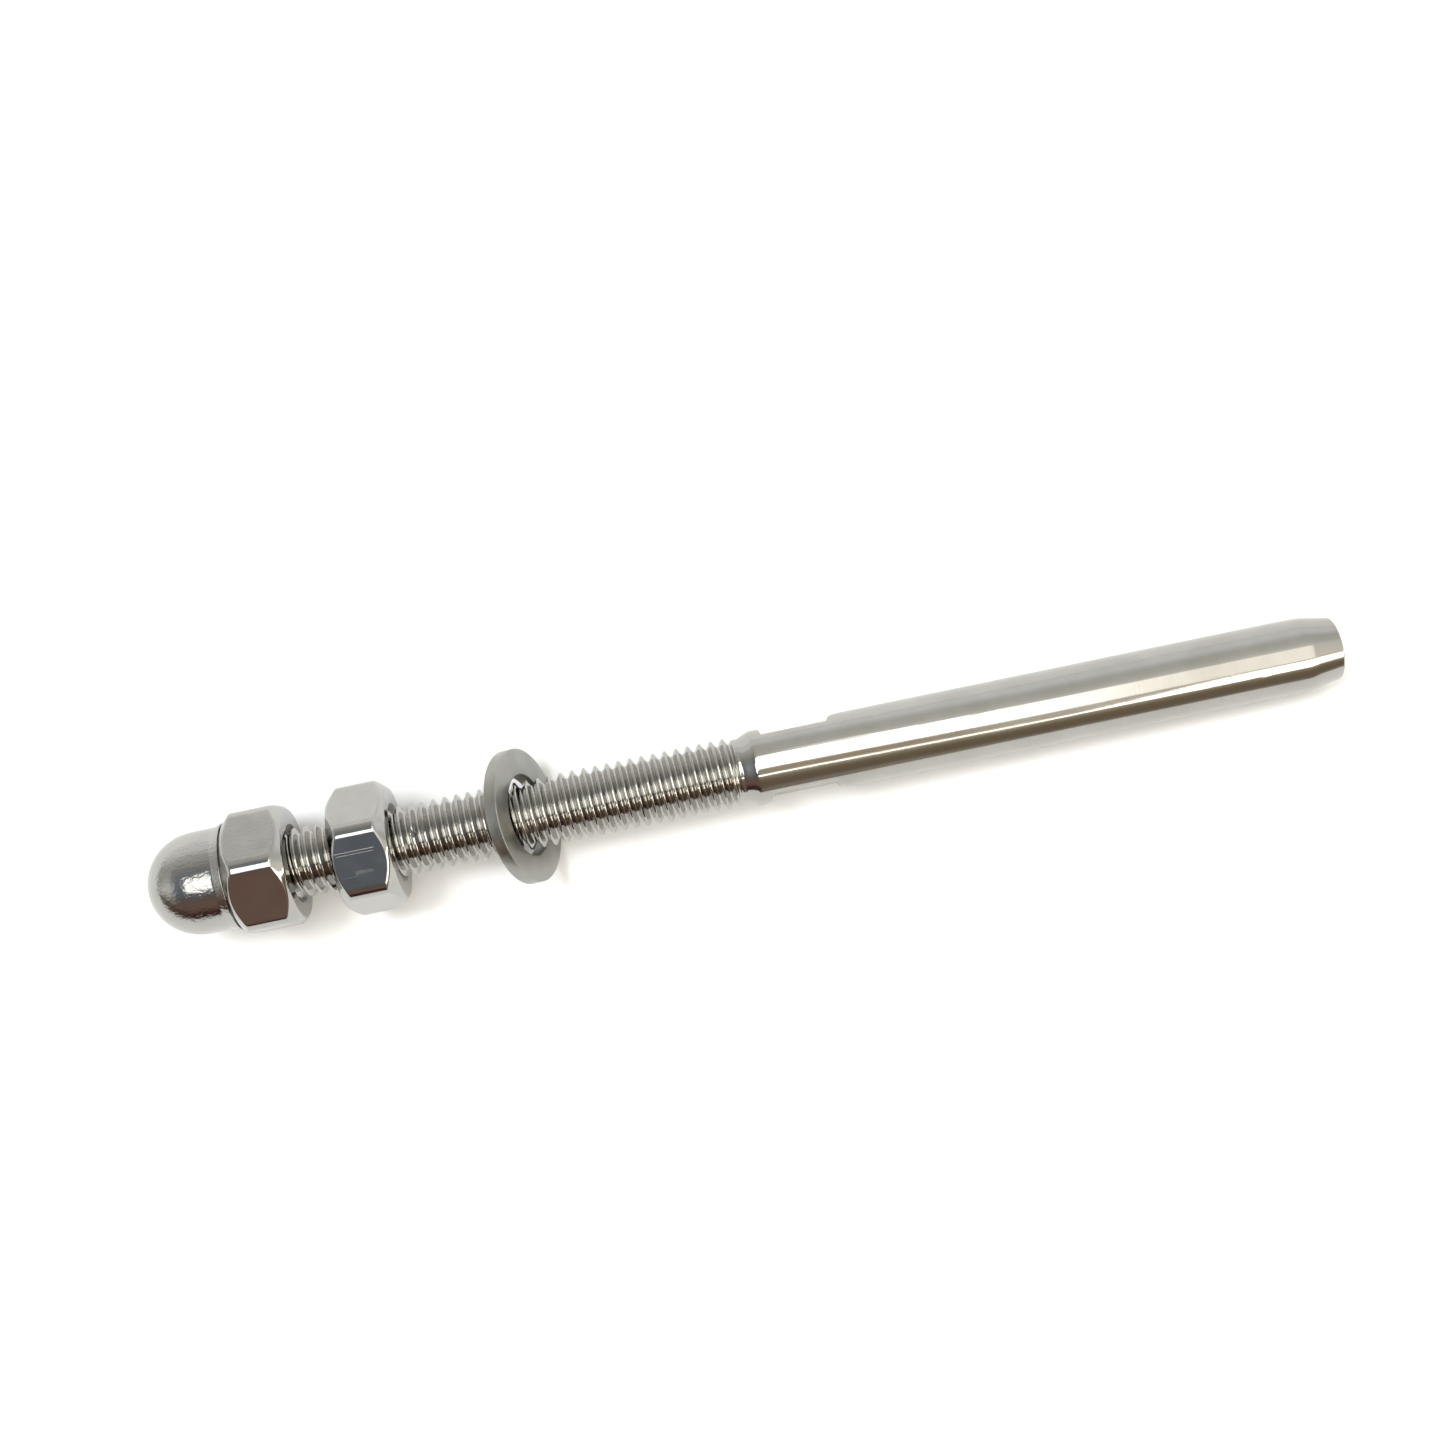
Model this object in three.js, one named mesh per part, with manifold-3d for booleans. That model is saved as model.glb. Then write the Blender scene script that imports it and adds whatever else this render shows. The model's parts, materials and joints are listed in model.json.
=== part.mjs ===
// Threaded swage stud terminal with its dome nut, hex nut and washer, as used to end a wire rope or a cable rail.
// Millimetres, +Z up. The stud lies along X: dome nut towards -X, open mouth for the wire towards +X.

import * as THREE from 'three';
import { mergeVertices } from 'three/addons/utils/BufferGeometryUtils.js';
import Module from 'manifold-3d';

const wasm = await Module();
wasm.setup();

// Driving dimensions. Lengths along the stud are measured from the bearing face of the dome nut.
const THREAD = { major: 5.94, minor: 4.78, pitch: 1, crestFlat: 0.13, end: -7.75, runOut: 38.3, firstCrest: 1.3 };
const THREAD_SIDES = 12;
const SHOULDER = { start: 38.85, full: 39.65, startDiameter: 5.1 };
const SLEEVE = { diameter: 6.35, taperStart: 87.25, end: 89.95, mouthDiameter: 5.4 };
const WIRE_BORE = { diameter: 3.5, depth: 45, lead: 0.25, drillAngle: 118 };
const FLATS = { start: 40.55, end: 46.3, acrossFlats: 5 };
const HEX = { acrossFlats: 10, acrossCorners: 11.06, bearingDiameter: 9.5, chamferAngle: 45 };
const HEX_NUT = { start: 3.75, height: 5, turn: 13.5 };
const DOME_NUT = { height: 12.57, hexHeight: 5.18, grooveWidth: 0.22, turn: 0 };
const DOME = { diameter: 8.72, baseDiameter: 9.2, flareLength: 0.7 };
const GROOVE_DIAMETER = 8.4;
const NUT_BORE = { diameter: 6.2, mouthDiameter: 6.8, domeDepth: 9.5 };
const WASHER = { outer: 11.6, inner: 6.9, thickness: 1.1, centre: 19.55, lean: 20.5, edge: 0.12 };
const ROUND_SIDES = 36;

const { degToRad } = THREE.MathUtils;
const washerLean = degToRad(WASHER.lean);
const axisHeight = WASHER.outer / 2 * Math.cos(washerLean)
  + (WASHER.thickness / 2 - WASHER.edge) * Math.sin(washerLean);
const middle = (SLEEVE.end - DOME_NUT.height) / 2;

// A closed geometry as a solid: only the positions are kept, shared vertices are merged and slivers dropped.
function solid(geometry) {
  const bare = geometry.clone();
  bare.deleteAttribute('normal');
  bare.deleteAttribute('uv');
  const merged = mergeVertices(bare, 1e-5);
  const corners = Array.from(merged.index.array);
  const kept = [];
  for (let i = 0; i < corners.length; i += 3) {
    const [a, b, c] = corners.slice(i, i + 3);
    if (a !== b && b !== c && c !== a) kept.push(a, b, c);
  }
  const vertProperties = new Float32Array(merged.attributes.position.array);
  return new wasm.Manifold(new wasm.Mesh({ numProp: 3, vertProperties, triVerts: new Uint32Array(kept) }));
}

// A solid of revolution about X, from [radius, x] points that start and end on the axis, x rising.
function turned(points, sides = ROUND_SIDES) {
  const profile = points.map(([radius, x]) => new THREE.Vector2(radius, x));
  return solid(new THREE.LatheGeometry(profile, sides).rotateZ(-Math.PI / 2));
}

function namedMesh(name, body, material) {
  const { vertProperties, triVerts } = body.getMesh();
  const geometry = new THREE.BufferGeometry();
  geometry.setAttribute('position', new THREE.BufferAttribute(new Float32Array(vertProperties), 3));
  geometry.setIndex(new THREE.BufferAttribute(new Uint32Array(triVerts), 1));
  geometry.computeVertexNormals();
  const mesh = new THREE.Mesh(geometry, material);
  mesh.name = name;
  return mesh;
}

function steel(color, roughness) {
  return new THREE.MeshStandardMaterial({ color, roughness, metalness: 1, flatShading: true });
}

// The thread's ridge: its section is extruded straight, then wound onto a right-hand helix about X.
// At the shoulder the last turn sinks into the core, as a die leaves it.
function threadRidge() {
  const crest = THREAD.major / 2;
  const buried = THREAD.minor / 2 - 0.1;
  const crestHalf = THREAD.crestFlat / 2;
  const baseHalf = crestHalf + (crest - buried) * Math.tan(Math.PI / 6);
  const section = new THREE.Shape([
    new THREE.Vector2(-baseHalf, buried),
    new THREE.Vector2(baseHalf, buried),
    new THREE.Vector2(crestHalf, crest),
    new THREE.Vector2(-crestHalf, crest),
  ]);
  const firstTurn = Math.floor(THREAD.end - THREAD.firstCrest) - 1;
  const turns = Math.round(THREAD.runOut - THREAD.firstCrest) - firstTurn;
  const steps = turns * THREAD_SIDES;
  const ridge = new THREE.ExtrudeGeometry(section, { depth: turns, steps, bevelEnabled: false });
  const place = ridge.attributes.position;
  for (let i = 0; i < place.count; i += 1) {
    const turn = place.getZ(i);
    const angle = turn * 2 * Math.PI;
    const sink = Math.max(0, turn - (turns - 1)) * (crest - buried + 0.1);
    const radius = place.getY(i) - sink;
    const along = THREAD.firstCrest + (firstTurn + turn) * THREAD.pitch + place.getX(i);
    place.setXYZ(i, along, radius * Math.cos(angle), radius * Math.sin(angle));
  }
  return solid(ridge);
}

// The threaded rod: core and ridge, trimmed to a chamfered end.
function threadedRod() {
  const core = turned([
    [0, THREAD.end],
    [THREAD.minor / 2, THREAD.end],
    [THREAD.minor / 2, SHOULDER.full],
    [0, SHOULDER.full],
  ], THREAD_SIDES);
  const depth = (THREAD.major - THREAD.minor) / 2 + 0.1;
  const envelope = turned([
    [0, THREAD.end],
    [THREAD.major / 2 - depth, THREAD.end],
    [THREAD.major / 2 + 0.2, THREAD.end + depth + 0.2],
    [THREAD.major / 2 + 0.2, SHOULDER.full],
    [0, SHOULDER.full],
  ], 2 * THREAD_SIDES);
  return core.add(threadRidge()).intersect(envelope);
}

// The sleeve that takes the wire, with its blind bore, tapered mouth and shoulder cone.
function sleeve() {
  const bore = WIRE_BORE.diameter / 2;
  const boreEnd = SLEEVE.end - WIRE_BORE.depth;
  const tip = boreEnd - bore / Math.tan(degToRad(WIRE_BORE.drillAngle / 2));
  return turned([
    [0, SHOULDER.start],
    [SHOULDER.startDiameter / 2, SHOULDER.start],
    [SLEEVE.diameter / 2, SHOULDER.full],
    [SLEEVE.diameter / 2, SLEEVE.taperStart],
    [SLEEVE.mouthDiameter / 2, SLEEVE.end],
    [bore + WIRE_BORE.lead, SLEEVE.end],
    [bore, SLEEVE.end - WIRE_BORE.lead],
    [bore, boreEnd],
    [0, tip],
  ]);
}

// Two opposite flats for a spanner, just behind the shoulder.
function wrenchFlats() {
  const length = FLATS.end - FLATS.start;
  const cutters = [-1, 1].map((side) => {
    const block = new THREE.BoxGeometry(length, SLEEVE.diameter, 2 * SLEEVE.diameter);
    block.translate((FLATS.start + FLATS.end) / 2, side * (FLATS.acrossFlats + SLEEVE.diameter) / 2, 0);
    return solid(block);
  });
  return cutters[0].add(cutters[1]);
}

function swageStud() {
  return threadedRod().add(sleeve()).subtract(wrenchFlats());
}

// A hexagonal bar along X from start to end, with one corner standing at the turn angle from +Z towards +Y.
function hexBar(start, end, turn) {
  const reach = HEX.acrossFlats / Math.sqrt(3);
  const outline = new THREE.Shape();
  for (let i = 0; i < 6; i += 1) {
    const angle = i * Math.PI / 3 + degToRad(turn);
    outline[i ? 'lineTo' : 'moveTo'](-reach * Math.sin(angle), -reach * Math.cos(angle));
  }
  const bar = new THREE.ExtrudeGeometry(outline, { depth: end - start, bevelEnabled: false });
  return solid(bar.rotateX(-Math.PI / 2).rotateZ(-Math.PI / 2).translate(start, 0, 0));
}

const cornerRadius = HEX.acrossCorners / 2;
const bearingRadius = HEX.bearingDiameter / 2;
const chamferLength = (cornerRadius - bearingRadius) * Math.tan(degToRad(HEX.chamferAngle));

// The bored hole of a nut, wider at the mouth; x of the mouth and the far side are given.
function nutBore(mouth, far, throughHole) {
  const radius = NUT_BORE.diameter / 2;
  const wide = NUT_BORE.mouthDiameter / 2;
  const sink = wide - radius;
  const margin = 0.5;
  const farPoints = throughHole
    ? [[0, far - margin], [wide + margin, far - margin], [radius, far + sink]]
    : [[0, far], [radius, far]];
  return turned([...farPoints, [radius, mouth - sink], [wide + margin, mouth + margin], [0, mouth + margin]]);
}

function hexNut() {
  const start = HEX_NUT.start;
  const end = start + HEX_NUT.height;
  const envelope = turned([
    [0, start],
    [bearingRadius, start],
    [cornerRadius, start + chamferLength],
    [cornerRadius, end - chamferLength],
    [bearingRadius, end],
    [0, end],
  ]);
  return hexBar(start, end, HEX_NUT.turn).intersect(envelope).subtract(nutBore(end, start, true));
}

function domeNut() {
  const hexStart = -DOME_NUT.hexHeight;
  const envelope = turned([
    [0, hexStart],
    [bearingRadius, hexStart],
    [cornerRadius, hexStart + chamferLength],
    [cornerRadius, -chamferLength],
    [bearingRadius, 0],
    [0, 0],
  ]);
  const radius = DOME.diameter / 2;
  const domeStart = hexStart - DOME_NUT.grooveWidth;
  const arc = new THREE.EllipseCurve(radius - DOME_NUT.height, 0, radius, radius, Math.PI, Math.PI / 2, true);
  const dome = turned([
    ...arc.getPoints(10).map((point) => [Math.max(0, point.y), point.x]),
    [radius + 0.02, domeStart - DOME.flareLength],
    [DOME.baseDiameter / 2, domeStart],
    [GROOVE_DIAMETER / 2, domeStart],
    [GROOVE_DIAMETER / 2, hexStart + 1],
    [0, hexStart + 1],
  ]);
  const hex = hexBar(hexStart, 0, DOME_NUT.turn).intersect(envelope);
  return hex.add(dome).subtract(nutBore(0, -NUT_BORE.domeDepth, false));
}

// A flat ring with slightly broken edges, leaning on the rod with its top towards the nuts.
function flatWasher() {
  const half = WASHER.thickness / 2;
  const outer = WASHER.outer / 2;
  const inner = WASHER.inner / 2;
  const disc = turned([
    [0, -half],
    [outer - WASHER.edge, -half],
    [outer, WASHER.edge - half],
    [outer, half - WASHER.edge],
    [outer - WASHER.edge, half],
    [0, half],
  ]);
  const hole = turned([[0, -1 - half], [inner, -1 - half], [inner, 1 + half], [0, 1 + half]]);
  return disc.subtract(hole);
}

const assembly = new THREE.Group();
assembly.position.set(-middle, 0, axisHeight);

assembly.add(namedMesh('swage_stud', swageStud(), steel(0xc4c2be, 0.16)));
assembly.add(namedMesh('hex_nut', hexNut(), steel(0xbdbcb8, 0.22)));
assembly.add(namedMesh('dome_nut', domeNut(), steel(0xbfbcb6, 0.2)));

const washer = namedMesh('flat_washer', flatWasher(), steel(0xa9aaa6, 0.34));
washer.position.x = WASHER.centre;
washer.rotation.y = -washerLean;
assembly.add(washer);

export default assembly;
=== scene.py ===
import json
import math

import bmesh
import bpy
import numpy as np
from mathutils import Matrix, Vector


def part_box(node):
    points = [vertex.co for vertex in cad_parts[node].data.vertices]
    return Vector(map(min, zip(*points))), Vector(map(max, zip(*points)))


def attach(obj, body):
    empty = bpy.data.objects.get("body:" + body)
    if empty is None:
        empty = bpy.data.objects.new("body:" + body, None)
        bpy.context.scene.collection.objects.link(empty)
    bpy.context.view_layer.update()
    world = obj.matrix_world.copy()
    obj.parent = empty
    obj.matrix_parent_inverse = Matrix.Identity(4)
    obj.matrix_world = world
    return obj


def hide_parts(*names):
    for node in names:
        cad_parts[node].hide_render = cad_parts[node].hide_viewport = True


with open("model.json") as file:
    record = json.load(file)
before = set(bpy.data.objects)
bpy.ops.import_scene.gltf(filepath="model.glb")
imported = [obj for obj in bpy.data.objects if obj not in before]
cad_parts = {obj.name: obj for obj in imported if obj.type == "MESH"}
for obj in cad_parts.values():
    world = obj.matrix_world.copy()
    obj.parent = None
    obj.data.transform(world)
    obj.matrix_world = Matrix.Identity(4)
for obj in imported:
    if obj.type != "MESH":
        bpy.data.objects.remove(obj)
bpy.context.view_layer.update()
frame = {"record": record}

# Shapes are worked out in millimetres along the stud, from the bearing face of the dome nut. Angles round the
# stud start at the far side (+Y) and rise over the top (+Z).
MM = 0.001
STUD_LOW, STUD_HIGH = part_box("swage_stud")
FACE_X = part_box("dome_nut")[1].x
AXIS_Z = (STUD_LOW.z + STUD_HIGH.z) / 2
FULL_TURN = 2 * math.pi
CREASE_DEGREES = 50
MOUNTS = {mount["name"]: mount for mount in frame["record"]["mounts"]}


def along(x):
    """Millimetres from the dome nut's face, of a row-frame x in metres."""
    return (x - FACE_X) / MM


def smooth_min(a, b, blend):
    """The lower of two values, rounded off where they differ by less than blend."""
    mix = np.clip(0.5 + 0.5 * (b - a) / blend, 0, 1)
    return b + (a - b) * mix - blend * mix * (1 - mix)


def smooth_max(a, b, blend):
    return -smooth_min(-a, -b, blend)


# ---------------------------------------------------------------- meshes of revolution

def columns(count, exact=()):
    """Angles round the axis, evenly spread, with the nearest ones moved to the exact angles asked for."""
    angles = np.arange(count) * FULL_TURN / count
    for angle in exact:
        angles[np.argmin(np.abs(angles - angle % FULL_TURN))] = angle % FULL_TURN
    return angles


def ring(x, radius, angles):
    """One ring: x and radius may be numbers or one value for each angle."""
    return np.stack([np.full(len(angles), 1.0) * x, np.full(len(angles), 1.0) * radius], 1)


def zipper(left, right, xs_left, xs_right):
    """Triangles and quads between two neighbouring lines of points that both run along x."""
    faces, i, j = [], 0, 0
    while i < len(left) - 1 or j < len(right) - 1:
        can_left, can_right = i < len(left) - 1, j < len(right) - 1
        if can_left and can_right and abs(xs_left[i + 1] - xs_right[j + 1]) < 1e-7:
            faces.append((left[i], right[j], right[j + 1], left[i + 1]))
            i, j = i + 1, j + 1
        elif can_left and (not can_right or xs_left[i + 1] < xs_right[j + 1]):
            faces.append((left[i], right[j], left[i + 1]))
            i += 1
        else:
            faces.append((left[i], right[j], right[j + 1]))
            j += 1
    return faces


class Skin:
    """Collects points and faces of one piece, in millimetres round the stud's axis."""

    def __init__(self):
        self.points, self.faces, self.count = [], [], 0

    def add_rings(self, rings, angles, inward=False):
        """A tube of rings; a ring of zero radius closes it with one point."""
        previous = None
        for x, radius in (each.T for each in rings):
            if np.max(radius) < 1e-9:
                current = np.full(len(angles), self.count)
                self.points.append([[x[0], 0, 0]])
                self.count += 1
            else:
                current = self.count + np.arange(len(angles))
                self.points.append(np.stack([x, radius * np.cos(angles), radius * np.sin(angles)], 1))
                self.count += len(angles)
            if previous is not None:
                self._band(previous, current, inward)
            previous = current

    def _band(self, first, second, inward):
        for j in range(len(first)):
            k = (j + 1) % len(first)
            quad = [first[j], first[k], second[k], second[j]]
            face = [v for n, v in enumerate(quad) if v != quad[n - 1]]
            self.faces.append(tuple(face[::-1] if inward else face))

    def add_thread(self, grid, angles, inward=False):
        """A threaded stretch: rows follow the helix, and the seam is zipped shut."""
        rows = len(grid)
        x, radius = grid[:, :, 0], grid[:, :, 1]
        place = np.stack([x, radius * np.cos(angles), radius * np.sin(angles)], 2)
        self.points.append(place.reshape(-1, 3))
        ids = self.count + np.arange(rows * len(angles)).reshape(rows, -1)
        self.count += rows * len(angles)
        faces = []
        for j in range(len(angles) - 1):
            band = np.stack([ids[:-1, j], ids[:-1, j + 1], ids[1:, j + 1], ids[1:, j]], 1)
            faces += [tuple(f) for f in band.tolist()]
        faces += zipper(ids[:, -1].tolist(), ids[:, 0].tolist(), x[:, -1], x[:, 0])
        self.faces += [f[::-1] for f in faces] if inward else faces

    def build(self, name, material, sharp=CREASE_DEGREES):
        """Welds the skin into one object, smooth but for creases sharper than the given angle."""
        points = np.concatenate([np.asarray(p, float) for p in self.points])
        points *= MM
        points[:, 0] += FACE_X
        points[:, 2] += AXIS_Z
        mesh = bpy.data.meshes.new(name)
        mesh.from_pydata(points.tolist(), [], self.faces)
        weld(mesh)
        mesh.polygons.foreach_set("use_smooth", [True] * len(mesh.polygons))
        if sharp is not None:
            mesh.set_sharp_from_angle(angle=math.radians(sharp))
        mesh.materials.append(material)
        piece = bpy.data.objects.new(name, mesh)
        bpy.context.scene.collection.objects.link(piece)
        return piece


def weld(mesh):
    """Joins points that meet, so that every piece is one closed skin."""
    work = bmesh.new()
    work.from_mesh(mesh)
    bmesh.ops.remove_doubles(work, verts=work.verts, dist=2e-7)
    bmesh.ops.dissolve_degenerate(work, edges=work.edges, dist=1e-8)
    work.to_mesh(mesh)
    work.free()
    mesh.validate()
    mesh.update()


# ---------------------------------------------------------------- the thread, M6 x 1 right-hand

PITCH = 1.0
FIRST_CREST = 1.3
NOMINAL_RADIUS, THREAD_RADIUS, ROOT_RADIUS = 3.0, 2.965, 2.387
ROOT_ROUNDING = 0.144 * PITCH
ROOT_REACH = ROOT_ROUNDING * 0.866
NUT_THREAD_RADIUS, TAP_RADIUS, NUT_BLEND, PLAY = 2.99, 2.5, 0.03, 0.06
ROWS_PER_TURN, END_ROWS, END_GAP = 28, 40, 0.02


def thread_radius(x, angle, crest=THREAD_RADIUS):
    """60 degree flanks, a narrow crest and a round root."""
    from_crest = (x - FIRST_CREST) / PITCH - angle / FULL_TURN
    away = np.abs(from_crest - np.round(from_crest)) * PITCH
    flank = NOMINAL_RADIUS - (away - PITCH / 16) * math.sqrt(3)
    reach = np.clip(PITCH / 2 - away, 0, ROOT_REACH)
    bottom = ROOT_RADIUS + ROOT_ROUNDING - np.sqrt(ROOT_ROUNDING ** 2 - reach ** 2)
    radius = np.where(PITCH / 2 - away < ROOT_REACH, bottom, np.maximum(flank, ROOT_RADIUS))
    return smooth_min(radius, crest, 0.02)


def helix_rows(start, end, angles):
    """x of each point of a threaded stretch: straight rings at both ends, rows along the helix between."""
    lead = PITCH * angles / FULL_TURN
    wedge = np.linspace(0, 1, END_ROWS)[:-1, None]
    first = math.ceil((start + END_GAP - FIRST_CREST) / PITCH) * PITCH + FIRST_CREST
    last = math.floor((end - END_GAP - FIRST_CREST) / PITCH) * PITCH + FIRST_CREST - PITCH
    rows = np.arange(round((last - first) / PITCH) * ROWS_PER_TURN + 1)[:, None]
    inner = rows * PITCH / ROWS_PER_TURN + first
    opening = start + wedge * (first + lead[None] - start)
    closing = (last + lead[None]) * wedge[::-1] + end * (1 - wedge[::-1])
    return np.concatenate([opening, inner + lead[None], closing])


def thread_grid(start, end, angles, shape):
    """x and radius of each point of a threaded stretch, the radius as the given shape of x and angle."""
    x = helix_rows(start, end, angles)
    return np.stack([x, shape(x, angles[None])], 2)


def nut_thread_radius(x, angle):
    """The nut's thread: the stud's thread with running clearance, cut off at the tap-drill radius."""
    return smooth_max(thread_radius(x, angle, NUT_THREAD_RADIUS) + PLAY, TAP_RADIUS, NUT_BLEND)


# ---------------------------------------------------------------- the stud

FLAT_HALF = MOUNTS["wrench_flat_left"]["pos_m"][1] / MM
SLEEVE_RADIUS = (STUD_HIGH.y - STUD_LOW.y) / 2 / MM
THREAD_START, START_RADIUS = along(STUD_LOW.x), ROOT_RADIUS - 0.1
RUN_OUT, RUN_OUT_LENGTH, NECK_RADIUS = 37.6, 0.7, 2.73
SHOULDER = 38.5
FLATS_FROM, FLATS_TO = 40.55, 46.3
PLAIN_RADIUS = SLEEVE_RADIUS - 0.004
TAPER_FROM, TAPER_BLEND, TAPER_DROP = 87.25, 0.4, 0.0705
MOUTH, MOUTH_RADIUS, MOUTH_EDGE = along(STUD_HIGH.x), 2.7, 0.16
BORE_RADIUS, BORE_DEPTH, DRILL_POINT = 1.75, 45.0, 1.05

# Small dents in the crests, as place, angle and depth, with one half length and one half angle for all.
DENTS = ((11.0, 1.36, 0.16), (10.35, 1.5, 0.07), (29.6, 2.3, 0.06))
DENT_LENGTH, DENT_ANGLE, DENTED_ABOVE = 0.32, 0.13, 2.75
# The cone beside the neck, as distance past the shoulder's start and radius.
SHOULDER_CONE = ((0.03, 2.733), (0.08, 2.745), (0.15, 2.77), (0.5, 2.925), (0.9, 3.10), (1.0, 3.14),
                 (1.06, 3.158), (1.12, 3.17), (1.2, SLEEVE_RADIUS), (1.4, SLEEVE_RADIUS))
# The sleeve's slow unevenness, as place and distance past the plain radius.
SLEEVE_WAVES = ((47.8, 0), (55, 0.004), (64, -0.003), (73, 0.0), (81, -0.002), (TAPER_FROM - 0.6, 0))
# The rounded rim of the wire bore and its wall, as depth and radius.
BORE_WALL = ((0.01, 1.985), (0.1, 1.88), (0.2, 1.785), (0.26, BORE_RADIUS + 0.005), (0.4, BORE_RADIUS),
             (2, BORE_RADIUS), (20, BORE_RADIUS), (BORE_DEPTH - 0.05, BORE_RADIUS),
             (BORE_DEPTH, BORE_RADIUS - 0.02), (BORE_DEPTH + DRILL_POINT, 0))


def stud_thread(x, angle):
    """The stud's thread with its chamfered start, its run-out at the neck and three small dents."""
    radius = smooth_min(thread_radius(x, angle), START_RADIUS + (x - THREAD_START), 0.05)
    fade = np.clip((x - RUN_OUT) / RUN_OUT_LENGTH, 0, 1)
    fade = fade * fade * (3 - 2 * fade)
    radius = radius + (NECK_RADIUS - radius) * fade
    for dent_x, dent_angle, depth in DENTS:
        away = ((x - dent_x) / DENT_LENGTH) ** 2 + ((angle - dent_angle) / DENT_ANGLE) ** 2
        radius = radius - depth * np.exp(-away) * (radius > DENTED_ABOVE)
    return radius


def sleeve_radius(x, angle):
    """The sleeve beside the shoulder, cut by the two wrench flats, which run out in a short ramp."""
    front = np.interp(x, [FLATS_FROM - 0.16, FLATS_FROM - 0.1, FLATS_FROM + 0.06], [0, 0.15, 1])
    back = np.interp(x, [FLATS_TO - 0.1, FLATS_TO, FLATS_TO + 0.12, FLATS_TO + 0.5, FLATS_TO + 1.4],
                     [0, 0.12, 0.55, 0.85, 1])
    depth = np.minimum(front, 1 - back)
    if depth <= 0:
        return SLEEVE_RADIUS
    flat = SLEEVE_RADIUS + (FLAT_HALF - SLEEVE_RADIUS) * depth
    return smooth_min(SLEEVE_RADIUS, flat / np.maximum(np.abs(np.cos(angle)), 0.2), 0.015)


def build_stud(material):
    edge = math.acos(FLAT_HALF / SLEEVE_RADIUS)
    angles = columns(128, [edge, -edge, math.pi - edge, math.pi + edge])
    skin = Skin()
    end_face = (0, 0.9, 1.8, START_RADIUS - 0.04, START_RADIUS)
    skin.add_rings([ring(THREAD_START, r, angles) for r in end_face], angles)
    skin.add_thread(thread_grid(THREAD_START, SHOULDER, angles, stud_thread), angles)
    rings = [ring(SHOULDER, NECK_RADIUS, angles)]
    rings += [ring(SHOULDER + x, r, angles) for x, r in SHOULDER_CONE]
    flats = np.concatenate([np.linspace(FLATS_FROM - 0.2, FLATS_FROM + 0.1, 16),
                            np.linspace(FLATS_FROM + 0.15, FLATS_TO - 0.2, 6),
                            np.linspace(FLATS_TO - 0.12, FLATS_TO + 1.5, 50)])
    rings += [ring(x, sleeve_radius(x, angles), angles) for x in flats]
    rings += [ring(x, PLAIN_RADIUS + r, angles) for x, r in SLEEVE_WAVES]
    for t in np.linspace(0, 1, 12):
        x = TAPER_FROM - TAPER_BLEND + 2 * TAPER_BLEND * t
        rings.append(ring(x, PLAIN_RADIUS - TAPER_DROP * t * t, angles))
    tip = MOUTH - MOUTH_EDGE
    slope = (PLAIN_RADIUS - TAPER_DROP - MOUTH_RADIUS) / (tip - TAPER_FROM - TAPER_BLEND)
    rings.append(ring(tip - 0.1, MOUTH_RADIUS + slope * 0.1, angles))
    for t in np.linspace(0, math.pi / 2, 8):
        x, radius = tip + MOUTH_EDGE * math.sin(t), MOUTH_RADIUS - MOUTH_EDGE * (1 - math.cos(t))
        rings.append(ring(x, radius, angles))
    rings += [ring(MOUTH, r, angles) for r in (2.45, 2.2, 2.0)]
    rings += [ring(MOUTH - x, r, angles) for x, r in BORE_WALL]
    skin.add_rings(rings, angles)
    return skin.build("swage_stud_fine", material)


# ---------------------------------------------------------------- the nuts

HEX_HALF, HEX_ROUND, HEX_HEIGHT = 5.0, 5.57, 5.18
HEX_NUT_CORNER, DOME_NUT_CORNER = math.radians(76.5), math.radians(90)
BEARING, SINK_RADIUS = 4.7, 3.4
DOME_RADIUS = 4.36
FLARE_LENGTH, FLARE_SLOPE, RIM_RADIUS = 0.8, 0.33, DOME_RADIUS + 0.26
GROOVE_RADIUS, GROOVE_WIDTH = 4.2, 0.16
BLIND_END, BLIND_RADIUS = -9.4, 3.08

# Ring radii of a bearing face from the hole outwards, and ring depths from either end of a hexagon.
FACE_STEPS = (SINK_RADIUS + 0.02, 3.9, 4.4, BEARING - 0.10, BEARING - 0.07)
END_STEPS = (0, 0.012, 0.03, 0.06, 0.1, 0.15, 0.2, 0.25, 0.3, 0.35, 0.4, 0.46, 0.52, 0.58, 0.64, 0.7, 0.76,
             0.82, 0.88, 0.95, 1.05, 1.2)
# Columns over one side of the hexagon, in degrees: close together where its corners are rounded.
SIDE_COLUMNS = (0, 2.4, 4.0, 4.73, 5.5, 7.0, 30, 53, 54.5, 55.27, 56, 57.6)


def hex_columns(corner):
    return columns(180, [corner + side * math.pi / 3 + bend for side in range(6)
                         for bend in np.radians(SIDE_COLUMNS)])


def hex_radius(angle, corner):
    """The hexagon across its flats, with rounded corners."""
    from_flat = (angle - corner) % (math.pi / 3) - math.pi / 6
    return smooth_min(HEX_HALF / np.cos(from_flat), HEX_ROUND, 0.08)


def hex_rings(start, end, angles, corner):
    """The hexagon from start to end, with a turned chamfer at both ends."""
    body = hex_radius(angles, corner)
    depths = list(END_STEPS) + [end - start - d for d in reversed(END_STEPS)]
    rings = []
    for depth in depths:
        near = min(depth, end - start - depth)
        cone = BEARING + near - 0.05 * math.exp(-near / 0.05)
        rings.append(ring(start + depth, smooth_min(body, cone, 0.10), angles))
    return rings


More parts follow.
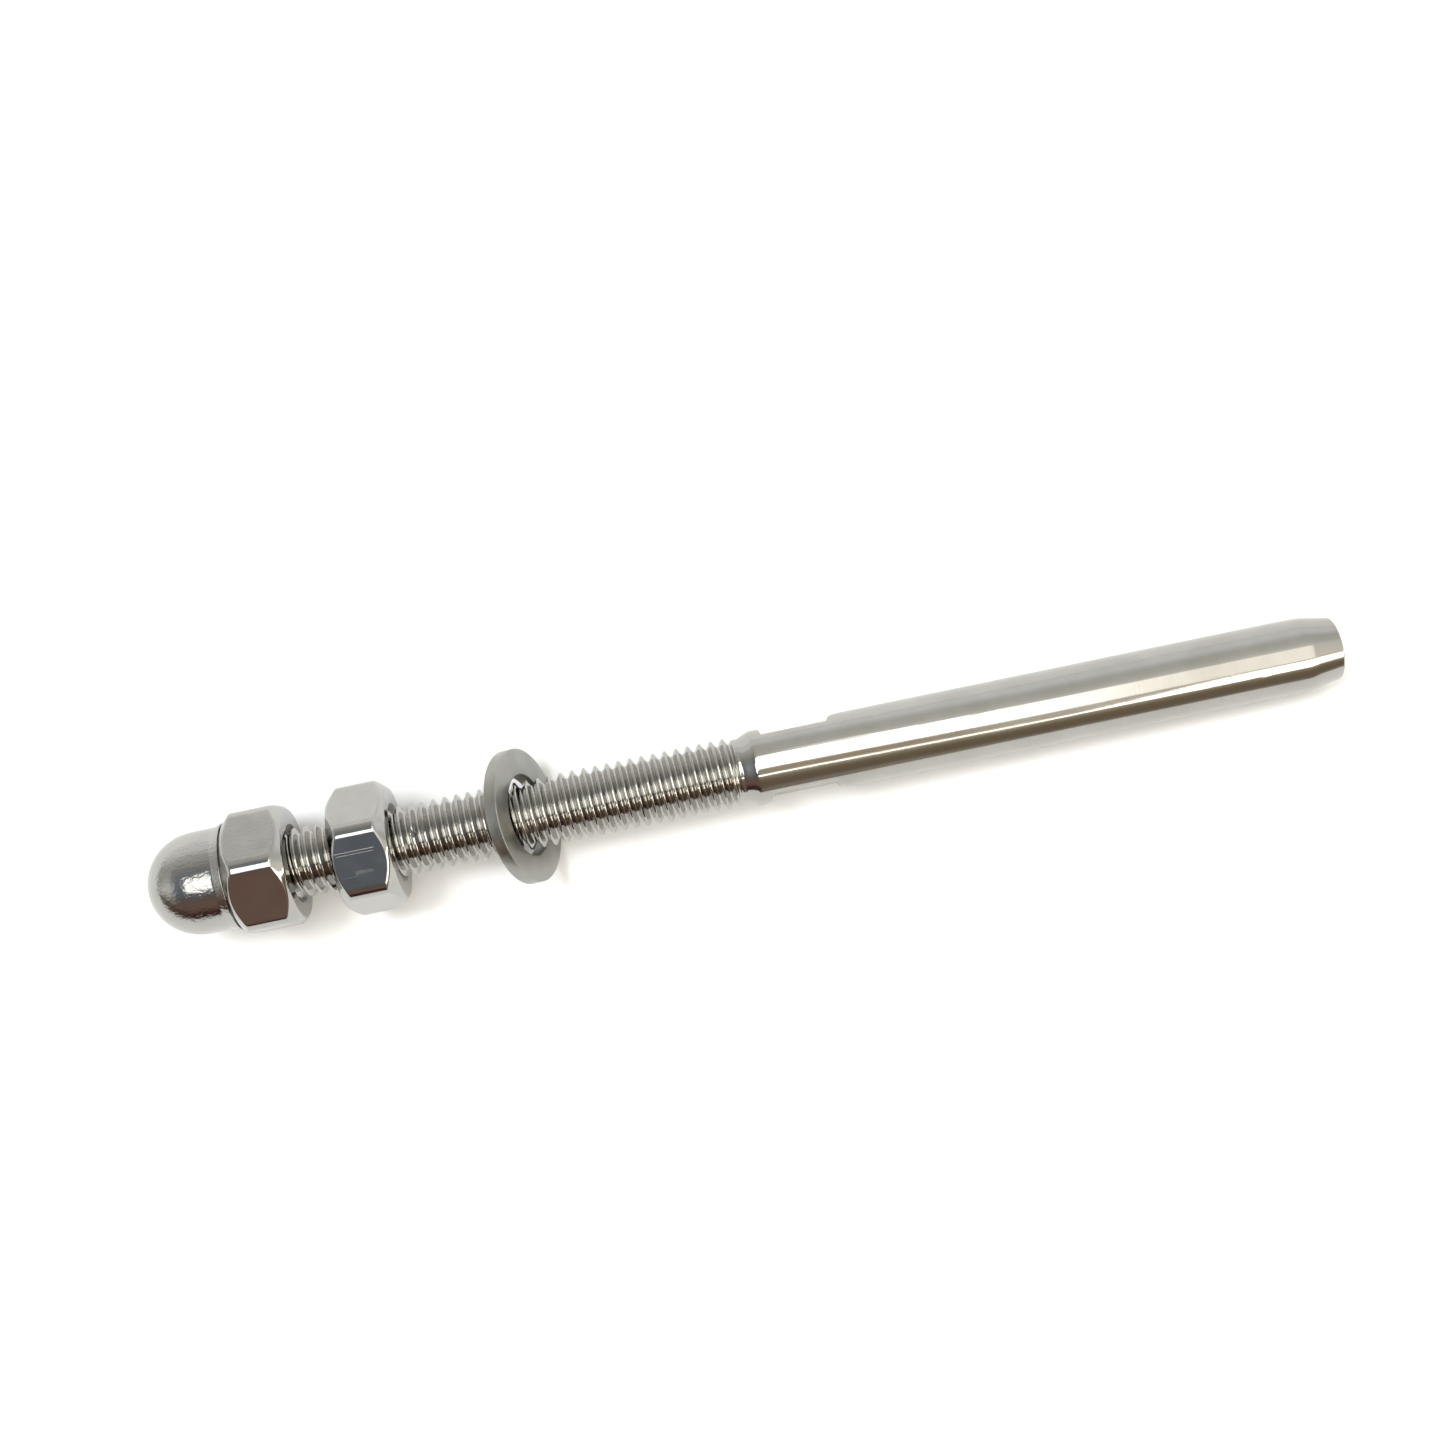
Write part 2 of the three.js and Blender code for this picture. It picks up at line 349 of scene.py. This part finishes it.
def sunk_thread(start, end, blind=False):
    """The radius of a nut's threaded hole, widened at its open mouths and relieved at a blind end."""
    def shape(x, angle):
        radius = nut_thread_radius(x, angle)
        radius = smooth_max(radius, SINK_RADIUS - (end - x), NUT_BLEND)
        if blind:
            return radius + (BLIND_RADIUS - radius) * np.clip((start + 0.7 - x) / 0.4, 0, 1)
        return smooth_max(radius, SINK_RADIUS - (x - start), NUT_BLEND)
    return shape


def build_hex_nut(material, corner):
    low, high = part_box("hex_nut")
    start, end = along(low.x), along(high.x)
    angles = hex_columns(corner)
    skin = Skin()
    shape = sunk_thread(start, end)
    mouth_start, mouth_end = shape(np.array([start]), 0), shape(np.array([end]), 0)
    rings = [ring(start, r, angles) for r in (mouth_start, *FACE_STEPS)]
    rings += hex_rings(start, end, angles, corner)
    rings += [ring(end, r, angles) for r in (*reversed(FACE_STEPS), mouth_end)]
    skin.add_rings(rings, angles)
    grid = thread_grid(start, end, angles, shape)
    grid[0, :, 1], grid[-1, :, 1] = mouth_start, mouth_end
    skin.add_thread(grid, angles, inward=True)
    return skin.build("hex_nut_fine", material)


def dome_rings(tip, groove_end, angles):
    """The dome from its tip, the flared rim at its base, and the groove between the rim and the hexagon."""
    rings = []
    centre = tip + DOME_RADIUS
    for t in np.linspace(0, math.pi / 2, 36):
        rings.append(ring(centre - DOME_RADIUS * math.cos(t), DOME_RADIUS * math.sin(t), angles))
    base = groove_end - GROOVE_WIDTH
    rings += [ring(x, DOME_RADIUS + 0.01, angles) for x in (centre + 0.5, centre + 1.0)]
    for x in np.linspace(base - 1.0, base - 0.03, 14):
        bend = np.clip((x - base + 1.0) / 0.4, 0, 1)
        rise = FLARE_SLOPE * max(x - base + FLARE_LENGTH, 0)
        rings.append(ring(x, DOME_RADIUS + 0.01 + rise * bend, angles))
    rings += [ring(base + x, RIM_RADIUS + r, angles) for x, r in
              ((-0.01, -0.005), (0, -0.02), (0.005, -0.06), (0.01, -0.25), (0.05, -0.45))]
    rings.append(ring(groove_end - 0.06, GROOVE_RADIUS, angles))
    rings.append(ring(groove_end, GROOVE_RADIUS + 0.05, angles))
    return rings


def build_dome_nut(material, corner):
    tip = along(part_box("dome_nut")[0].x)
    angles = hex_columns(corner)
    shape = sunk_thread(BLIND_END, 0, blind=True)
    mouth = shape(np.array([0.0]), 0)
    rings = dome_rings(tip, -HEX_HEIGHT, angles)
    rings += [ring(-HEX_HEIGHT, r, angles) for r in (4.3, BEARING - 0.10, BEARING - 0.07)]
    rings += hex_rings(-HEX_HEIGHT, 0, angles, corner)
    rings += [ring(0, r, angles) for r in (*reversed(FACE_STEPS), mouth)]
    skin = Skin()
    skin.add_rings(rings, angles)
    grid = thread_grid(BLIND_END, 0, angles, shape)
    grid[0, :, 1], grid[-1, :, 1] = BLIND_RADIUS, mouth
    skin.add_thread(grid, angles, inward=True)
    drill_end = ((0.9, 0), (0.1, BLIND_RADIUS - 0.2), (0.02, BLIND_RADIUS - 0.02), (0, BLIND_RADIUS))
    skin.add_rings([ring(BLIND_END - x, r, angles) for x, r in drill_end], angles, inward=True)
    return skin.build("dome_nut_fine", material)


# ---------------------------------------------------------------- the washer

WASHER_OUTER, WASHER_INNER, WASHER_HALF = 5.77, 3.45, 0.55
WASHER_LEAN = math.acos(MOUNTS["washer_face"]["axis"][0])


def build_washer(material):
    """A stamped ring that leans on the thread; each of its four edges has its own rounding."""
    low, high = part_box("flat_washer")
    angles = columns(144)
    profile = []
    corners = ((WASHER_OUTER, -WASHER_HALF, -1, -1, 0.10), (WASHER_OUTER, WASHER_HALF, -1, 1, 0.05),
               (WASHER_INNER, WASHER_HALF, 1, 1, 0.16), (WASHER_INNER, -WASHER_HALF, 1, -1, 0.05))
    for number, (radius, x, inward, side, bend) in enumerate(corners):
        steps = np.linspace(0, math.pi / 2, 6)
        arc = [(radius + inward * bend * (1 - math.cos(t)), x - side * bend * (1 - math.sin(t))) for t in steps]
        profile += arc if number % 2 else arc[::-1]
    skin = Skin()
    skin.add_rings([ring(x, r, angles) for r, x in profile + profile[:1]], angles)
    piece = skin.build("flat_washer_fine", material, sharp=None)
    piece.data.transform(Matrix.Translation((-FACE_X, 0, -AXIS_Z)))
    piece.data.transform(Matrix.Rotation(-WASHER_LEAN, 4, "Y"))
    piece.data.transform(Matrix.Translation((low + high) / 2))
    return piece


# ---------------------------------------------------------------- materials

def ramp(nodes, stops):
    """A colour ramp through the given stops, each a place and a grey value or a colour."""
    node = nodes.new("ShaderNodeValToRGB")
    while len(node.color_ramp.elements) < len(stops):
        node.color_ramp.elements.new(0.5)
    for element, (place, value) in zip(node.color_ramp.elements, stops):
        element.position = place
        element.color = (*value, 1) if isinstance(value, tuple) else (value, value, value, 1)
    return node


class Steel:
    """One procedural steel: tint and gloss that vary, fine relief and scratches. Noise scales are per metre."""

    def __init__(self, name):
        self.material = bpy.data.materials.new(name)
        self.material.use_nodes = True
        self.nodes = self.material.node_tree.nodes
        self.links = self.material.node_tree.links
        self.shader = self.nodes["Principled BSDF"]
        self.shader.inputs["Metallic"].default_value = 1
        self.place = self.nodes.new("ShaderNodeTexCoord").outputs["Object"]
        self.normal = None

    def noise(self, scale, stretch=(1, 1, 1), detail=3.0, turn=(0, 0, 0)):
        mapping = self.nodes.new("ShaderNodeMapping")
        mapping.inputs["Scale"].default_value = [scale * s for s in stretch]
        mapping.inputs["Rotation"].default_value = turn
        self.links.new(self.place, mapping.inputs["Vector"])
        noise = self.nodes.new("ShaderNodeTexNoise")
        noise.inputs["Scale"].default_value = 1
        noise.inputs["Detail"].default_value = detail
        self.links.new(mapping.outputs["Vector"], noise.inputs["Vector"])
        return noise.outputs["Fac"]

    def colour(self, dark, light, scale):
        tint = ramp(self.nodes, [(0.35, dark), (0.65, light)])
        self.links.new(self.noise(scale), tint.inputs["Fac"])
        self.links.new(tint.outputs["Color"], self.shader.inputs["Base Color"])

    def gloss(self, low, high, scale, stretch=(1, 1, 1)):
        rough = ramp(self.nodes, [(0.35, low), (0.7, high)])
        self.links.new(self.noise(scale, stretch), rough.inputs["Fac"])
        self.rough = rough.outputs["Color"]
        self.links.new(self.rough, self.shader.inputs["Roughness"])

    def bump(self, height, strength, depth):
        node = self.nodes.new("ShaderNodeBump")
        node.inputs["Strength"].default_value = strength
        node.inputs["Distance"].default_value = depth
        self.links.new(height, node.inputs["Height"])
        if self.normal:
            self.links.new(self.normal, node.inputs["Normal"])
        self.normal = node.outputs["Normal"]
        self.links.new(self.normal, self.shader.inputs["Normal"])

    def scratches(self, scale, stretch, turn, strength):
        """Thin grooves where the noise passes through one narrow band of its values."""
        line = ramp(self.nodes, [(0.0, 0.5), (0.60, 0.5), (0.62, 0.0), (0.65, 0.5), (1.0, 0.5)])
        self.links.new(self.noise(scale, stretch, 1.0, turn), line.inputs["Fac"])
        self.bump(line.outputs["Color"], strength, 0.00001)

    def only(self, value, axis, low, high):
        """The value where the object's own coordinate lies between low and high metres, and 0 elsewhere."""
        split = self.nodes.new("ShaderNodeSeparateXYZ")
        self.links.new(self.place, split.inputs[0])
        inside = self.nodes.new("ShaderNodeMath")
        inside.operation = "COMPARE"
        self.links.new(split.outputs[axis], inside.inputs[0])
        inside.inputs[1].default_value = (low + high) / 2
        inside.inputs[2].default_value = (high - low) / 2
        product = self.nodes.new("ShaderNodeMath")
        product.operation = "MULTIPLY"
        self.links.new(inside.outputs[0], product.inputs[0])
        if isinstance(value, float):
            product.inputs[1].default_value = value
        else:
            self.links.new(value, product.inputs[1])
        return product.outputs[0]

    def scratch_line(self, y, half, ends, dullness):
        """One straight dull scratch along the stud on the upper side."""
        line = self.only(dullness, "Y", y - half, y + half)
        line = self.only(self.only(line, "X", *ends), "Z", AXIS_Z + 3.5 * MM, 1.0)
        total = self.nodes.new("ShaderNodeMath")
        self.links.new(self.rough, total.inputs[0])
        self.links.new(line, total.inputs[1])
        self.rough = total.outputs[0]
        self.links.new(self.rough, self.shader.inputs["Roughness"])


def sleeve_steel():
    """Turned and polished: faint rings round the sleeve and long faint scratches."""
    steel = Steel("polished_stainless_turned")
    steel.colour((0.455, 0.445, 0.42), (0.495, 0.485, 0.465), 300)
    steel.gloss(0.06, 0.11, 900, (0.25, 1, 1))
    steel.bump(steel.noise(60, (60, 1, 1), 4), 0.10, 0.00002)
    steel.bump(steel.noise(900, (0.2, 1, 1), 3), 0.15, 0.00002)
    steel.scratches(500, (0.12, 1.4, 1.4), (0.2, 0.1, 0.35), 0.25)
    return steel.material


def nut_steel():
    """Polished, with two dull scratches and a smear on the upper side of the hex nut."""
    steel = Steel("nut_stainless_polished")
    steel.colour((0.45, 0.445, 0.43), (0.49, 0.485, 0.47), 500)
    steel.gloss(0.05, 0.10, 700)
    steel.bump(steel.noise(450, detail=1), 0.5, 0.000012)
    steel.bump(steel.noise(3600, detail=2), 0.4, 0.000004)
    steel.scratches(700, (0.2, 1.6, 1.6), (0.4, 0.9, 0.2), 0.2)
    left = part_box("hex_nut")[0].x
    for y, half, start, end, dullness in ((-0.46, 0.022, 0.2, 3.8, 0.3), (-0.69, 0.022, 0.6, 3.7, 0.22),
                                          (-2.25, 0.14, 1.9, 3.4, 0.07)):
        steel.scratch_line(y * MM, half * MM, (left + start * MM, left + end * MM), dullness)
    return steel.material


def dome_steel():
    """The same steel pressed and polished by hand: the dome keeps small dents that break up its highlight."""
    steel = Steel("dome_stainless_polished")
    steel.colour((0.45, 0.445, 0.43), (0.49, 0.485, 0.47), 500)
    steel.gloss(0.05, 0.11, 700)
    dome = (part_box("dome_nut")[0].x, FACE_X - HEX_HEIGHT * MM)
    steel.bump(steel.noise(450, detail=1), 0.6, 0.000014)
    steel.bump(steel.only(steel.noise(2800, (1, 1.4, 1.4), 4), "X", *dome), 1.0, 0.00003)
    steel.bump(steel.noise(3600, detail=2), 0.6, 0.000005)
    steel.scratches(700, (0.2, 1.6, 1.6), (0.4, 0.9, 0.2), 0.2)
    return steel.material


def washer_steel():
    """Plain satin steel, duller and a little darker than the nuts."""
    steel = Steel("washer_stainless_satin")
    steel.colour((0.36, 0.36, 0.335), (0.42, 0.415, 0.39), 600)
    steel.gloss(0.28, 0.4, 1200)
    steel.bump(steel.noise(5000, detail=4), 0.3, 0.00001)
    steel.scratches(900, (1.5, 0.15, 1.5), (0.1, 0.3, 0.2), 0.3)
    return steel.material


def table_white():
    """A white table that is painted a light grey for glossy rays only, so that its reflections in the steel are
    painted darker than its lighting makes them.
    """
    material = bpy.data.materials.new("table_white")
    material.use_nodes = True
    shader = material.node_tree.nodes["Principled BSDF"]
    shader.inputs["Roughness"].default_value = 0.55
    nodes, links = material.node_tree.nodes, material.node_tree.links
    # Painted reflection: white for camera rays, a darker grey for glossy rays, so the steel shows the table
    # darker.
    white = ramp(nodes, [(0, (0.95, 0.955, 0.965)), (1, (0.76, 0.765, 0.77))])
    links.new(nodes.new("ShaderNodeLightPath").outputs["Is Glossy Ray"], white.inputs["Fac"])
    links.new(white.outputs["Color"], shader.inputs["Base Color"])
    return material


# ---------------------------------------------------------------- the pieces on their bodies

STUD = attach(build_stud(sleeve_steel()), "stud")
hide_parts("swage_stud")
HEX_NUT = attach(build_hex_nut(nut_steel(), HEX_NUT_CORNER), "hex_nut")
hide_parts("hex_nut")
DOME_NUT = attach(build_dome_nut(dome_steel(), DOME_NUT_CORNER), "dome_nut")
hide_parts("dome_nut")
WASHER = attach(build_washer(washer_steel()), "washer")
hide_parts("flat_washer")


# ---------------------------------------------------------------- table, light and camera

TABLE_GAP = 0.02 * MM


def add_table():
    """A table top that the sleeve's end and the washer rest on, so it leans a little against the stud."""
    rest_left = Vector((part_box("flat_washer")[1].x - 0.5 * MM, 0, -TABLE_GAP))
    rest_right = Vector((FACE_X + TAPER_FROM * MM, 0, AXIS_Z - SLEEVE_RADIUS * MM - TABLE_GAP))
    slope = math.atan2(rest_right.z - rest_left.z, rest_right.x - rest_left.x)
    bpy.ops.mesh.primitive_grid_add(x_subdivisions=2, y_subdivisions=2, size=8, location=rest_left)
    table = bpy.context.object
    table.name = "table_top"
    table.rotation_euler = (0, -slope, 0)
    table.data.materials.append(table_white())


# What the room looks like, as an angle in degrees from the far horizon (0) over the top to the near one (180)
# and a colour: ahead of the sleeve, over the nuts, and at the end that the dome faces.
ROOM_RIGHT = ((0, (.98, .98, .96)), (22, (.96, .96, .94)), (32, (.80, .80, .78)), (42, (.70, .69, .64)),
              (52, (.71, .71, .65)), (62, (.78, .78, .71)), (72, (.96, .95, .88)), (110, (1.1, 1.05, .9)),
              (116, (.86, .80, .70)), (129, (.80, .72, .60)), (137, (.56, .49, .38)), (143, (.42, .35, .25)),
              (150, (.27, .21, .135)), (162, (.23, .175, .115)), (171, (.25, .2, .15)), (178, (.4, .35, .29)))
ROOM_LEFT = ((0, (.97, .97, .95)), (22, (.90, .90, .86)), (27, (.55, .55, .50)), (31, (.64, .64, .59)),
             (45, (.50, .49, .44)), (60, (.32, .325, .315)), (78, (.25, .28, .31)), (112, (.18, .20, .245)),
             (122, (.165, .18, .20)), (128, (.18, .14, .12)), (148, (.235, .145, .115)),
             (160, (.17, .10, .08)), (165, (.075, .035, .027)), (179, (.06, .03, .022)))
ROOM_END = ((0, (.58, .58, .54)), (40, (.54, .53, .48)), (70, (.72, .72, .68)), (95, (.95, .95, .90)),
            (120, (.58, .57, .52)), (140, (.29, .26, .22)), (150, (.14, .115, .09)), (178, (.12, .09, .07)))
BEAM_COLOUR = (.55, .46, .34)
LAMP_NEAR, LAMP_FAR = (3.0, 2.95, 2.8), (1.7, 1.62, 1.45)
SLIT_COLOUR = (3.6, 3.4, 2.95)
BACKDROP = (0.9, 0.905, 0.91)
HALF_TURN_DEGREES = 180


class Sky:
    """The world's nodes. An angle is a number of half turns from the far horizon over the top, written in
    degrees by the caller, and x is the share of the direction that lies along the stud."""

    def __init__(self):
        world = bpy.data.worlds.new("studio")
        bpy.context.scene.world = world
        world.use_nodes = True
        self.nodes, self.links = world.node_tree.nodes, world.node_tree.links
        split = self.nodes.new("ShaderNodeSeparateXYZ")
        self.links.new(self.nodes.new("ShaderNodeTexCoord").outputs["Generated"], split.inputs[0])
        self.x = split.outputs["X"]
        turn = self.math("ARCTAN2", split.outputs["Z"], split.outputs["Y"])
        self.angle = self.math("DIVIDE", turn, math.pi)

    def math(self, operation, first, second):
        node = self.nodes.new("ShaderNodeMath")
        node.operation = operation
        for socket, value in zip(node.inputs, (first, second)):
            if isinstance(value, (int, float)):
                socket.default_value = value
            else:
                self.links.new(value, socket)
        return node.outputs[0]

    def span(self, value, low, high, out_low=0.0, out_high=1.0, smooth=True):
        node = self.nodes.new("ShaderNodeMapRange")
        node.interpolation_type = "SMOOTHSTEP" if smooth else "LINEAR"
        self.links.new(value, node.inputs["Value"])
        for socket, number in zip(("From Min", "From Max", "To Min", "To Max"), (low, high, out_low, out_high)):
            node.inputs[socket].default_value = number
        return node.outputs["Result"]

    def bands(self, angle, stops):
        node = ramp(self.nodes, [(degrees / HALF_TURN_DEGREES, colour) for degrees, colour in stops])
        self.links.new(angle, node.inputs["Fac"])
        return node.outputs["Color"]

    def slide(self, low, high, degrees_low, degrees_high, smooth=True):
        """An angle that goes from one value to another between two places along the stud."""
        ends = (degrees_low / HALF_TURN_DEGREES, degrees_high / HALF_TURN_DEGREES)
        return self.span(self.x, low, high, *ends, smooth=smooth)

    def strip(self, angle, centre, half, soft):
        """1 inside a band of the given half width about its centre, with edges of soft degrees."""
        away = self.math("ABSOLUTE", self.math("SUBTRACT", angle, centre), 0)
        soft /= HALF_TURN_DEGREES
        return self.span(self.math("SUBTRACT", away, half), soft, -soft)

    def within(self, share, *ends):
        """The share faded out towards places along the stud, each end given as the x of 0 and the x of 1."""
        for nothing, whole in ends:
            share = self.math("MULTIPLY", share, self.span(self.x, nothing, whole))
        return share

    def mix(self, share, below, above):
        node = self.nodes.new("ShaderNodeMix")
        node.data_type = "RGBA"
        self.links.new(share, node.inputs[0])
        for socket, value in ((node.inputs[6], below), (node.inputs[7], above)):
            if isinstance(value, tuple):
                socket.default_value = (*value, 1)
            else:
                self.links.new(value, socket)
        return node.outputs[2]


def add_sky():
    """A soft room with a broad lamp overhead, a brown beam beside it and a bright slit beyond the beam."""
    sky = Sky()
    leaning = sky.math("ADD", sky.angle, sky.slide(0.04, 0.18, 11, 0, smooth=False))
    left, right = sky.bands(sky.angle, ROOM_LEFT), sky.bands(leaning, ROOM_RIGHT)
    room = sky.mix(sky.span(sky.x, -0.10, 0.10), left, right)
    room = sky.mix(sky.span(sky.x, -0.62, -0.9), room, sky.bands(sky.angle, ROOM_END))
    beam = sky.strip(leaning, 122 / HALF_TURN_DEGREES, 8 / HALF_TURN_DEGREES, 4)
    room = sky.mix(sky.within(beam, (0.18, 0.10), (-0.02, 0.03)), room, BEAM_COLOUR)
    lamp = sky.strip(leaning, sky.slide(-0.12, 0.04, 108, 93), sky.slide(-0.45, 0.04, 11, 20, smooth=False), 1.2)
    glow = sky.mix(sky.span(sky.x, 0.15, 0.27), LAMP_NEAR, LAMP_FAR)
    lit = sky.mix(sky.within(lamp, (-0.44, -0.28), (0.55, 0.45)), room, glow)
    slit = sky.strip(leaning, sky.slide(0.20, 0.29, 133.5, 127.5), sky.slide(0.20, 0.29, 2.2, 11), 0.6)
    lit = sky.mix(sky.within(slit, (-0.14, -0.02)), lit, SLIT_COLOUR)
    background = sky.nodes["Background"]
    sky.links.new(lit, background.inputs["Color"])
    pale = sky.nodes.new("ShaderNodeBackground")
    pale.inputs["Color"].default_value = (*BACKDROP, 1)
    mix = sky.nodes.new("ShaderNodeMixShader")
    sky.links.new(sky.nodes.new("ShaderNodeLightPath").outputs["Is Camera Ray"], mix.inputs["Fac"])
    sky.links.new(background.outputs[0], mix.inputs[1])
    sky.links.new(pale.outputs[0], mix.inputs[2])
    sky.links.new(mix.outputs[0], sky.nodes["World Output"].inputs["Surface"])


def add_area(name, place, size, power, colour):
    """A round soft light that points at the origin and leaves no highlight of its own."""
    light = bpy.data.lights.new(name, "AREA")
    light.shape = "DISK"
    light.size = size
    light.energy = power
    light.color = colour
    lamp = bpy.data.objects.new(name, light)
    lamp.location = place
    lamp.rotation_euler = (-lamp.location).to_track_quat("-Z", "Y").to_euler()
    lamp.visible_glossy = False
    bpy.context.scene.collection.objects.link(lamp)


def add_camera():
    """Nearly straight down on the part, turned so that the stud runs up to the right."""
    azimuth, elevation, roll = math.radians(6.6), math.radians(82.95), math.radians(5.14)
    target = Vector((-0.00099, 0.00438, AXIS_Z))
    distance = 0.1577
    back = Vector((-math.sin(azimuth) * math.cos(elevation), -math.cos(azimuth) * math.cos(elevation),
                   math.sin(elevation)))
    camera = bpy.data.objects.new("camera", bpy.data.cameras.new("camera"))
    camera.data.lens = 46.12
    camera.data.sensor_width = 36
    camera.data.clip_start = 0.005
    upright = (-back).to_track_quat("-Z", "Y")
    camera.matrix_world = (Matrix.Translation(target + back * distance) @ upright.to_matrix().to_4x4()
                           @ Matrix.Rotation(-roll, 4, "Z"))
    bpy.context.scene.collection.objects.link(camera)
    bpy.context.scene.camera = camera


add_table()
add_sky()
add_area("overhead_far", (-0.3, 0.13, 0.8), 0.3, 4.0, (0.93, 0.96, 1.0))
add_camera()
bpy.context.scene.view_settings.view_transform = "Standard"
